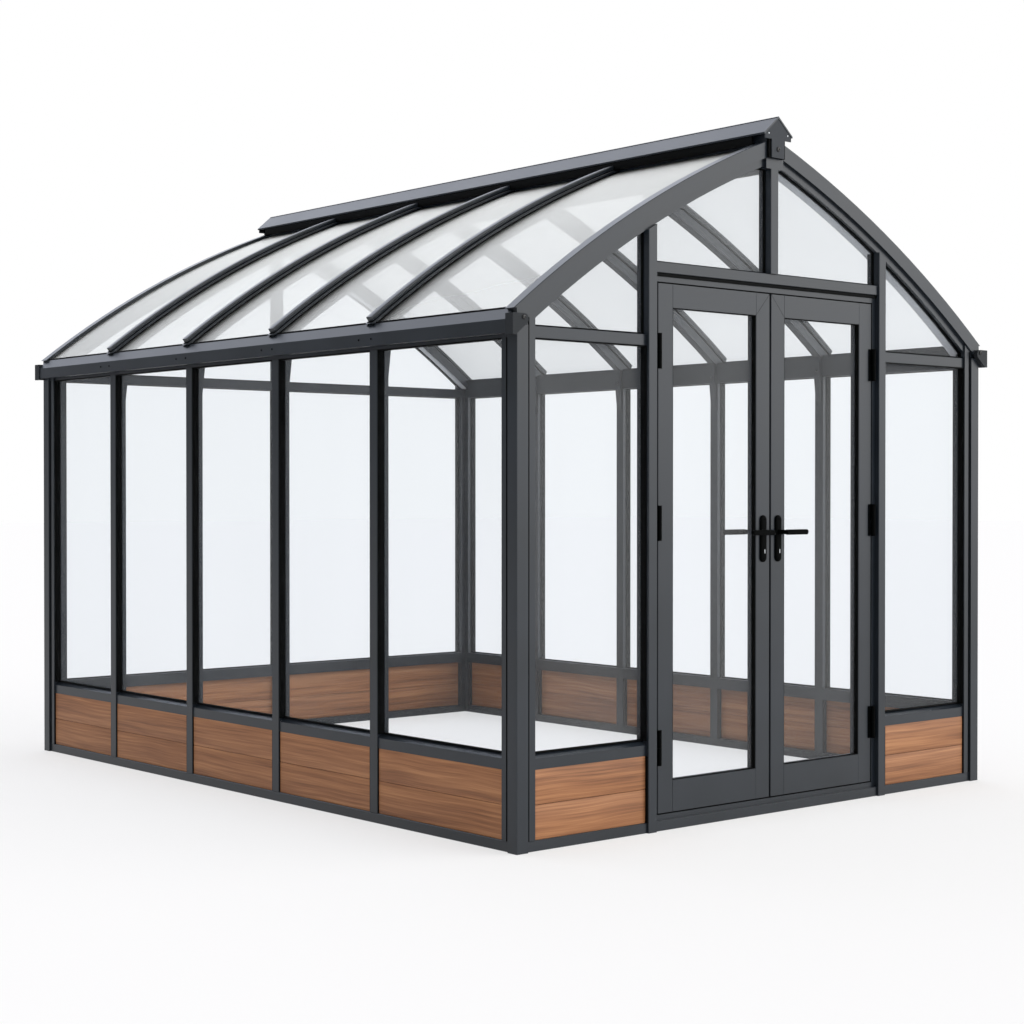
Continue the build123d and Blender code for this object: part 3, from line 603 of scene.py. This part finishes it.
def seal_walls():
    """Black seals on the reveals of every wall and gable pane, and beads round the boards; these blacks are
    partly real rubber and partly painted shade of the reveals, gaps and the posts' steps.
    """
    deep, gable_deep, thick = 26.5, 11, 3
    foot_deep, foot_thick, foot_sunk = 9, 7, 1
    bead, bead_inset = 4, 5
    upright, level, foot, gable = [], [], [], []

    def lay_foot(side, low, high, bottom):
        out = BAR_FACE[side] - REVEAL + foot_deep / 2
        z = bottom + foot_thick / 2 - foot_sunk
        foot.append(([on_wall(side, along, out, z) for along in (low, high)], facing(side)))

    panes = [("left", box) for box in solid_boxes("left_wall_glass")]
    panes += [("right", box) for box in solid_boxes("right_wall_glass")]
    panes += [(side_of(box), box) for box in solid_boxes("end_wall_glass")]
    for side, box in panes:
        low, high = (place + sign * GLASS_BITE for place, sign in zip(span(side, box), (1, -1)))
        bottom, top = box[0][2] + GLASS_BITE, box[1][2] - GLASS_BITE
        out = BAR_FACE[side] - REVEAL + deep / 2
        for along in (low + thick / 2, high - thick / 2):
            upright.append(([on_wall(side, along, out, z) for z in (bottom, top)], facing(side)))
        z = top - thick / 2
        level.append(([on_wall(side, along, out, z) for along in (low, high)], facing(side)))
        lay_foot(side, low, high, bottom)

    for box in solid_boxes("front_gable_glass") + solid_boxes("back_gable_glass"):
        side = side_of(box)
        low, high = (place + sign * GLASS_BITE for place, sign in zip(span(side, box), (1, -1)))
        bottom = box[0][2] + GLASS_BITE
        out = BAR_FACE[side] - REVEAL + gable_deep / 2
        for along, inset in ((low, thick / 2), (high, -thick / 2)):
            top = min(roof_height(along, GABLE_HEAD_DEPTH), RIDGE_BEAM_FOOT)
            gable.append(([on_wall(side, along + inset, out, z) for z in (bottom, top)], facing(side)))
        lay_foot(side, low, high, bottom)
        line = roof_line(low, high, 0, GABLE_HEAD_DEPTH + thick / 2)
        line = [on_wall(side, x, out, min(z, RIDGE_BEAM_FOOT - thick / 2)) for x, y, z in line]
        gable.append((line, facing(side)))

    # Black beads at both ends of every panel: partly real beads, partly painted shade of the gap between the
    # boards and the bars
    beads = []
    for side in OUTWARD:
        out = BAR_FACE[side] - bead_inset + bead / 2 - 1
        for box in solid_boxes(f"{side}_panels"):
            low, high = span(side, box)
            for along in (low + bead / 2, high - bead / 2):
                beads.append(([on_wall(side, along, out, z) for z in (box[0][2], box[1][2])], facing(side)))

    # Black strips in the step between each post and its arms: painted shade of the step
    steps = []
    for x in (-1, 1):
        for y in (-1, 1):
            end, flank = ("front" if y < 0 else "back"), ("left" if x < 0 else "right")
            for side, sign, (along, out, top) in ((end, x, END_STEP), (flank, y, SIDE_STEP)):
                steps.append(([on_wall(side, sign * along, out, z) for z in (RAIL_TOP, top)], facing(side)))
    lay_bars("post_joints", steps, 3, 3, 0.5, rubber, "frame", "black_metal")

    # Black beads beside the door jambs, down by the boards: partly real beads, partly painted shade of the gap
    # there
    jamb_side, jamb_y, panel_head = 634, -1617.5, 261
    jamb_sides = [
        ([(sign * jamb_side, jamb_y, z) for z in (RAIL_TOP, panel_head)], (0, -1, 0)) for sign in (-1, 1)
    ]
    lay_bars("jamb_beads", jamb_sides, 11, 4, 0.8, rubber, "frame", "black_metal")
    # The pane and gable seals line the whole reveal walls: partly glazing gaskets, partly painted shade of the
    # reveals
    lay_bars("pane_seals", upright + level, deep, thick, 0.6, rubber, "frame", "black_metal")
    lay_bars("gable_seals", gable, gable_deep, thick, 0.6, rubber, "frame", "black_metal")
    lay_bars("pane_foot_seals", foot, foot_deep, foot_thick, 2, rubber, "frame", "black_metal")
    lay_bars("panel_beads", beads, bead, bead, 1, rubber, "frame", "black_metal")


def seal_roof():
    """Covers and rubber on the ribs, trims under the end rafters, and seals at the eaves and the ridge; the
    black line between covers and caps is painted shade, and the ridge seals and end closures are partly painted
    shade.
    """
    slopes = ends = (-1, 1)
    ribs = sorted({round((box[0][1] + box[1][1]) / 2, 3) for box in solid_boxes("left_roof_ribs")})
    half_web = RIB_WEB / 2
    strip = ROOF_GLASS_DEPTH - CAP_DEPTH
    seal_foot = EAVE_X - 8
    under_cap = []
    for y in ribs:
        for sign in (-1, 1):
            edge = y + sign * (half_web + strip / 2)
            for slope in slopes:
                line = roof_line(slope * seal_foot, slope * RIDGE_X, edge, CAP_DEPTH + strip / 2)
                under_cap.append((line, (0, sign, 0)))
    lay_bars("rib_seals", under_cap, strip, strip, 0.5, rubber, "frame", "black_metal")

    # Covers on the ribs' caps, parted from them by a thin black line of painted shade
    cover, tall, gap = 34, 16, 2
    cover_foot, cover_head = EAVE_X - 6, RIDGE_X + 14
    covers, gaps = [], []
    for y in ribs:
        for slope in slopes:
            reach = (slope * cover_foot, slope * cover_head)
            covers.append((roof_line(*reach, y, -gap - tall / 2), (0, 1, 0)))
            gaps.append((roof_line(*reach, y, -gap / 2), (0, 1, 0)))
    lay_bars("rib_covers", covers, cover, tall, 3, frame_coat, "frame", "frame_grey")
    lay_bars("rib_cover_seals", gaps, cover - 3, gap + 1, 0.4, rubber, "frame", "black_metal")

    trim_foot, trim_head, trim_y = 1150, 60, 1562
    trims = []
    for end in ends:
        for slope in slopes:
            line = roof_line(slope * trim_foot, slope * trim_head, end * trim_y, GABLE_HEAD_DEPTH + 1)
            trims.append((line, (0, end, 0)))
    lay_bars("rafter_trims", trims, 38, 3, 0.8, trim_coat, "frame", "frame_grey")

    pane_end, eave_seal_x, eave_seal_z = 1577, 1209, EAVE_Z + 3
    edges = [-pane_end] + [y + sign * half_web for y in ribs for sign in (-1, 1)] + [pane_end]
    eaves = []
    for slope in slopes:
        for reach in zip(edges[::2], edges[1::2]):
            eaves.append(([(slope * eave_seal_x, y, eave_seal_z) for y in reach], (slope, 0, 0)))
    lay_bars("eave_seals", eaves, 14, 8, 2, rubber, "frame", "black_metal")

    # Black blocks under the ridge cap's lips: partly seals, partly painted shade of the hollow under the cap
    lip_x, lip_y, lip_z = 70, 1580, 2415
    ridge = [([(slope * lip_x, end * lip_y, lip_z) for end in ends], (slope, 0, 0)) for slope in slopes]
    lay_bars("ridge_seals", ridge, 6, 32, 1, rubber, "frame", "black_metal")
    seam_x, seam_y, seam_z = 4, 1640, 2497
    seam = [([(slope * seam_x, end * seam_y, seam_z) for end in ends], (slope, 0, 0)) for slope in slopes]
    lay_bars("ridge_seam", seam, 3, 3, 0.6, rubber, "frame", "black_metal")
    # Black blocks in the recess at each ridge end: partly rubber closures, partly painted shade of the recess
    closure_y, closure_foot, closure_head = 1630.5, 2352, 2418
    closures = [([(0, end * closure_y, z) for z in (closure_foot, closure_head)], (0, end, 0)) for end in ends]
    lay_bars("ridge_end_closures", closures, 10, 86, 1, rubber, "frame", "black_metal")


def seal_doors():
    """Seals between the door frame and the leaves, and round the panes of both leaves; the strip under the
    header and the pane seals are partly painted shade.
    """
    outward = (0, -1, 0)
    # A black strip under the header: partly a seal, partly painted shade of the set-back door frame
    head_x, head_y, head_z = 591, -1608, 1897
    head = [([(sign * head_x, head_y, head_z) for sign in (-1, 1)], outward)]
    lay_bars("door_head_seal", head, 7, 11, 1, rubber, "frame", "black_metal")

    gap_x, gap_y, gap_foot, gap_head = 572.7, -1588, 53, 1873
    level_x, level_inset = 571, 1.3
    gap = [([(sign * gap_x, gap_y, z) for z in (gap_foot, gap_head)], outward) for sign in (-1, 1)]
    for z in (gap_foot + level_inset, gap_head - level_inset):
        gap.append(([(sign * level_x, gap_y, z) for sign in (-1, 1)], outward))
    lay_bars("door_gap_seals", gap, 30, 2.6, 0.8, rubber, "frame", "black_metal")

    # The pane seals line the leaves' reveals in black: partly glazing gaskets, partly painted shade of the
    # reveals
    deep, thick, pane_y = 16, 3, -1587
    mitre_x, mitre_z, mitre_y = (5, 75), (1867, 1789), LEAF_OUTER_Y + 0.1
    for name, sign in (("left", -1), ("right", 1)):
        low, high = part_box(f"{name}_door_glass")
        low = [part / MM + GLASS_BITE for part in low]
        high = [part / MM - GLASS_BITE for part in high]
        y = pane_y - deep / 2
        runs = []
        for x in (low[0] + thick / 2, high[0] - thick / 2):
            runs.append(([(x, y, low[2]), (x, y, high[2])], outward))
        for z in (low[2] + thick / 2, high[2] - thick / 2):
            runs.append(([(low[0], y, z), (high[0], y, z)], outward))
        lay_bars(f"{name}_door_pane_seals", runs, deep, thick, 0.6, rubber, f"{name}_door", "black_metal")
        mitre = [([(sign * x, mitre_y, z) for x, z in zip(mitre_x, mitre_z)], outward)]
        lay_bars(f"{name}_door_mitre", mitre, 0.6, 1.2, 0.1, rubber, f"{name}_door", "black_metal")

    meeting_x, meeting_y, meeting_foot, meeting_head = -2.6, -1586, 60, 1866
    meeting = [([(meeting_x, meeting_y, z) for z in (meeting_foot, meeting_head)], outward)]
    lay_bars("left_door_meeting_seal", meeting, 34, 2.6, 0.8, rubber, "left_door", "black_metal")


def stadium_plate(mesh, x, y, way):
    """Adds a handle plate with round ends and a domed edge, standing on a leaf's face, to a mesh."""
    turns = [math.pi * step / 10 for step in range(11)]
    upper, lower = PLATE_HEAD_Z - PLATE_HALF_WIDTH, PLATE_FOOT_Z + PLATE_HALF_WIDTH
    rows = []
    for inset, rise in ((0, 0), (0, 0.55), (0.12, 0.8), (0.3, 0.94), (0.55, 1.0)):
        radius = PLATE_HALF_WIDTH * (1 - inset)
        ring = [(x + radius * math.cos(turn), upper + radius * math.sin(turn)) for turn in turns]
        ring += [(x - radius * math.cos(turn), lower - radius * math.sin(turn)) for turn in turns]
        out = y + way * rise * PLATE_THICK
        rows.append([mesh.verts.new((px * MM, out * MM, pz * MM)) for px, pz in ring])
    for low, high in zip(rows, rows[1:]):
        for step in range(len(low)):
            after = (step + 1) % len(low)
            mesh.faces.new((low[step], low[after], high[after], high[step]))
    mesh.faces.new(rows[-1])
    mesh.faces.new(reversed(rows[0]))


def handle_plates():
    """Round-ended handle plates with a domed edge, in place of the plain ones, and a key slot in each."""
    slot_offset, slot_foot, slot_head = 3, 936, 950
    for name, sign in (("left", -1), ("right", 1)):
        middle = sign * PLATE_X
        shape = bmesh.new()
        slots = []
        for y, way in ((LEAF_OUTER_Y, -1), (LEAF_INNER_Y, 1)):
            stadium_plate(shape, middle, y, way)
            face = y + way * PLATE_THICK
            slots.append(([(middle + slot_offset, face, z) for z in (slot_foot, slot_head)], (0, way, 0)))
        bmesh.ops.recalc_face_normals(shape, faces=shape.faces)
        mesh = bpy.data.meshes.new(f"{name}_door_round_plates")
        shape.to_mesh(mesh)
        shape.free()
        mesh.shade_smooth()
        mesh.set_sharp_from_angle(angle=math.radians(50))
        mesh.materials.append(hardware_coat)
        piece = bpy.data.objects.new(mesh.name, mesh)
        bpy.context.scene.collection.objects.link(piece)
        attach(piece, f"{name}_door")
        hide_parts(f"{name}_door_handle_plates")
        lay_bars(f"{name}_door_key_slots", slots, 1.6, 4, 0.7, screw_metal, f"{name}_door", "black_metal")


def fasten():
    """Bolts and screws on the eaves, the ridge plates, the gussets, the hinges and the handle plates."""
    bolt_rings = [(1, 0), (1, 0.12), (0.9, 0.36), (0.66, 0.52), (0.42, 0.56), (0.38, 0.3)]
    screw_rings = [(1, 0), (1, 0.25), (0.85, 0.48), (0.5, 0.58), (0.34, 0.58), (0.25, 0.34)]
    low_rings = [(1, 0), (1, 0.08), (0.85, 0.17), (0.5, 0.2), (0.4, 0.2), (0.36, 0.1)]
    button = lathe_head("button_head", bolt_rings, 12)
    pan = lathe_head("pan_head", screw_rings, 8)
    low = lathe_head("low_head", low_rings, 12)

    # At the back the caps' own faces end the part's box, so they get no bolts and the ridge gets a low one
    cap_x, cap_y, cap_z = 1206, -1643, 1712
    ridge_bolt_z, ridge_screw_x, ridge_screw_z = 2383, 50, 2436
    bolts = [((side * cap_x, cap_y, cap_z), (0, -1, 0), 8) for side in (-1, 1)]
    bolts.append(((0, -RIDGE_PLATE_Y, ridge_bolt_z), (0, -1, 0), 9))
    flush = [((0, RIDGE_PLATE_Y, ridge_bolt_z), (0, 1, 0), 9)]
    bright = []
    for end in (-1, 1):
        for side in (-1, 1):
            bright.append(((side * ridge_screw_x, end * RIDGE_PLATE_Y, ridge_screw_z), (0, end, 0), 3.2))

    gusset_x, gusset_z = 1146, 1676
    eave_face, eave_screw_z, eave_screw_offset = 1248, 1686, 36
    small = []
    for box in solid_boxes("rib_gussets"):
        side = 1 if box[0][0] > 0 else -1
        y = (box[0][1] + box[1][1]) / 2
        bolts.append(((side * gusset_x, y, gusset_z), (-side, 0, 0), 7))
        for sign in (-1, 1):
            small.append(((side * eave_face, y + sign * eave_screw_offset, eave_screw_z), (side, 0, 0), 3.5))
    set_heads("bolt_heads", bolts, button, bolt_coat, "frame")
    set_heads("back_ridge_bolt", flush, low, bolt_coat, "frame")
    set_heads("eave_screws", small, pan, hardware_coat, "frame")
    set_heads("ridge_screws", bright, pan, screw_metal, "frame")

    leaf_x, post_x, hinge_y, hinge_offset = 557, 585.5, -1608, 42
    plate_inset = 14
    for name, sign in (("left", -1), ("right", 1)):
        leaf, post = [], []
        for box in solid_boxes(f"{name}_door_hinges"):
            middle = (box[0][2] + box[1][2]) / 2
            for z in (middle - hinge_offset, middle + hinge_offset):
                leaf.append(((sign * leaf_x, hinge_y, z), (0, -1, 0), 3))
                post.append(((sign * post_x, hinge_y, z), (0, -1, 0), 3))
        for z in (PLATE_FOOT_Z + plate_inset, PLATE_HEAD_Z - plate_inset):
            leaf.append(((sign * PLATE_X, LEAF_OUTER_Y - PLATE_THICK, z), (0, -1, 0), 3.2))
            leaf.append(((sign * PLATE_X, LEAF_INNER_Y + PLATE_THICK, z), (0, 1, 0), 3.2))
        set_heads(f"{name}_door_screws", leaf, pan, hardware_coat, f"{name}_door")
        set_heads(f"{name}_hinge_screws", post, pan, hardware_coat, "frame")
    for head in (button, pan, low):
        bpy.data.objects.remove(head)


def studio_floor():
    """A pale floor that is white to the eye and keeps the part's soft shadow."""
    made, tree, coords = new_material("studio_floor_matt_white")
    path = add(tree, "ShaderNodeLightPath")
    seen = add(
        tree,
        "ShaderNodeMath",
        {0: path.outputs["Is Camera Ray"], 1: path.outputs["Is Glossy Ray"]},
        operation="MAXIMUM",
    )
    shown = add(
        tree,
        "ShaderNodeMath",
        {0: seen.outputs["Value"], 1: path.outputs["Is Transmission Ray"]},
        operation="MAXIMUM",
    )
    share = add(
        tree,
        "ShaderNodeMath",
        {0: shown.outputs["Value"], 1: FLOOR_WHITE_SHARE},
        operation="MULTIPLY",
    )
    matt = add(tree, "ShaderNodeBsdfDiffuse", {"Color": linear("#ece9e7")})
    white = add(tree, "ShaderNodeEmission", {"Color": linear("#ffffff"), "Strength": 1.0})
    mixed = add(
        tree,
        "ShaderNodeMixShader",
        {0: share.outputs["Value"], 1: matt.outputs["BSDF"], 2: white.outputs["Emission"]},
    )
    add(tree, "ShaderNodeOutputMaterial", {"Surface": mixed.outputs["Shader"]})
    return made


def studio():
    """The floor, and a world whose soft light is stronger from the front right and from above."""
    mesh = bpy.data.meshes.new("studio_floor")
    corners = [(-1, -1), (1, -1), (1, 1), (-1, 1)]
    mesh.from_pydata([(x * FLOOR_HALF, y * FLOOR_HALF, -FLOOR_DROP) for x, y in corners], [], [(0, 1, 2, 3)])
    floor = bpy.data.objects.new("studio_floor", mesh)
    bpy.context.scene.collection.objects.link(floor)
    mesh.materials.append(studio_floor())

    world = bpy.data.worlds.new("studio_light")
    bpy.context.scene.world = world
    world.use_nodes = True
    tree = world.node_tree
    tree.nodes.clear()
    direction = add(tree, "ShaderNodeTexCoord").outputs["Generated"]
    towards = add(tree, "ShaderNodeVectorMath", {0: direction, 1: LIGHT_SIDE}, operation="DOT_PRODUCT")
    turn = add(
        tree,
        "ShaderNodeMath",
        {0: towards.outputs["Value"], 1: 0.5, 2: 0.5},
        operation="MULTIPLY_ADD",
    )
    shares = add(
        tree,
        "ShaderNodeValToRGB",
        {"Fac": turn.outputs["Value"]},
        stops=[(place, (share, share, share, 1.0)) for place, share in LIGHT_SHARES],
    )
    side = add(
        tree,
        "ShaderNodeMath",
        {0: shares.outputs["Color"], 1: LIGHT_HIGHEST},
        operation="MULTIPLY",
    )
    height = add(tree, "ShaderNodeSeparateXYZ", {"Vector": direction})
    above = add(tree, "ShaderNodeMath", {0: height.outputs["Z"], 1: 0.0}, operation="MAXIMUM")
    level = add(
        tree,
        "ShaderNodeMath",
        {0: above.outputs["Value"], 1: LIGHT_TOP, 2: side.outputs["Value"]},
        operation="MULTIPLY_ADD",
    )
    away = add(tree, "ShaderNodeVectorMath", {0: direction, 1: LIGHT_BACK_SIDE}, operation="DOT_PRODUCT")
    behind = add(
        tree,
        "ShaderNodeMapRange",
        {"Value": away.outputs["Value"], "From Min": 0.6, "From Max": 0.98, "To Max": LIGHT_BACK},
        interpolation_type="SMOOTHSTEP",
    )
    path = add(tree, "ShaderNodeLightPath")
    gloss = add(
        tree,
        "ShaderNodeMath",
        {0: path.outputs["Is Glossy Ray"], 1: GLOSS_WHITE_SHARE},
        operation="MULTIPLY",
    )
    seen = add(
        tree,
        "ShaderNodeMath",
        {0: path.outputs["Is Camera Ray"], 1: path.outputs["Is Transmission Ray"]},
        operation="MAXIMUM",
    )
    white_share = add(
        tree,
        "ShaderNodeMath",
        {0: seen.outputs["Value"], 1: gloss.outputs["Value"]},
        operation="MAXIMUM",
    )
    front_light = add(
        tree,
        "ShaderNodeBackground",
        {"Color": linear("#ffffff"), "Strength": level.outputs["Value"]},
    )
    back_light = add(
        tree,
        "ShaderNodeBackground",
        {"Color": linear("#e3ebff"), "Strength": behind.outputs["Result"]},
    )
    lighting = add(tree, "ShaderNodeAddShader", {0: front_light.outputs[0], 1: back_light.outputs[0]})
    white = add(tree, "ShaderNodeBackground", {"Color": linear("#ffffff"), "Strength": 1.0})
    shown = add(
        tree,
        "ShaderNodeMixShader",
        {0: white_share.outputs["Value"], 1: lighting.outputs["Shader"], 2: white.outputs["Background"]},
    )
    add(tree, "ShaderNodeOutputWorld", {"Surface": shown.outputs["Shader"]})


def photo_camera():
    """The camera at the photograph's viewing angle."""
    lens = bpy.data.cameras.new("photo_camera")
    lens.lens = CAMERA_LENS_MM
    camera = bpy.data.objects.new("photo_camera", lens)
    bpy.context.scene.collection.objects.link(camera)
    camera.location = CAMERA_PLACE
    camera.rotation_euler = (math.radians(90 - CAMERA_PITCH_DOWN), 0, math.radians(CAMERA_AZIMUTH))
    bpy.context.scene.camera = camera


clad_in_boards()
seal_walls()
seal_roof()
seal_doors()
handle_plates()
fasten()
studio()
photo_camera()
bpy.context.scene.view_settings.view_transform = "Standard"
